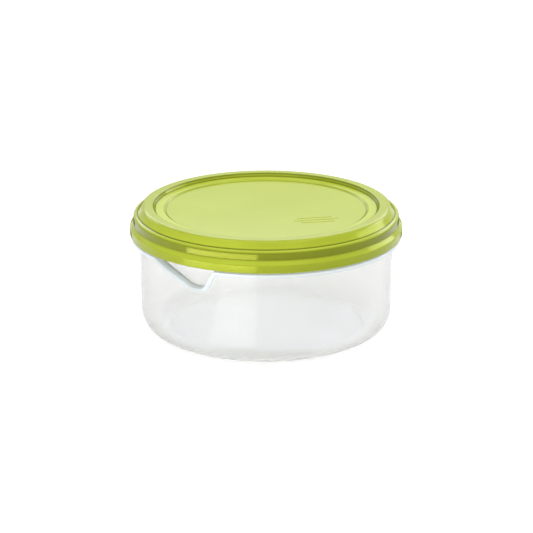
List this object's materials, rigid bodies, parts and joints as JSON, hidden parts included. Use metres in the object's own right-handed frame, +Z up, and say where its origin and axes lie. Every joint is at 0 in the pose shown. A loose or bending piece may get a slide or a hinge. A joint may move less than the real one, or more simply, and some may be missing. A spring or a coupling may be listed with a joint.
{
  "type": "snap lid food container",
  "caption": "Round clear food container with a green push-fit lid, a recessed lid panel and a thumb gap in the flange under the lid's skirt.",
  "frame": {"origin": "centre of the round base, on the surface the container stands on", "axes": "+Z up along the container's axis, -Y towards the thumb gap, +X to the right of it"},
  "size_m": [0.16, 0.16, 0.0745],
  "materials": {
    "container_clear": "clear, slightly milky polypropylene with a smooth moulded gloss",
    "lid_green": "lime green, slightly translucent gloss polypropylene"
  },
  "bodies": {
    "container": {"container": "container_clear"},
    "lid": {"lid": "lid_green"}
  },
  "joints": [
    {"name": "lid_lift", "type": "slide", "parent": "container", "child": "lid", "axis": [0, 0, 1], "range_m": [0, 0.06]}
  ]
}
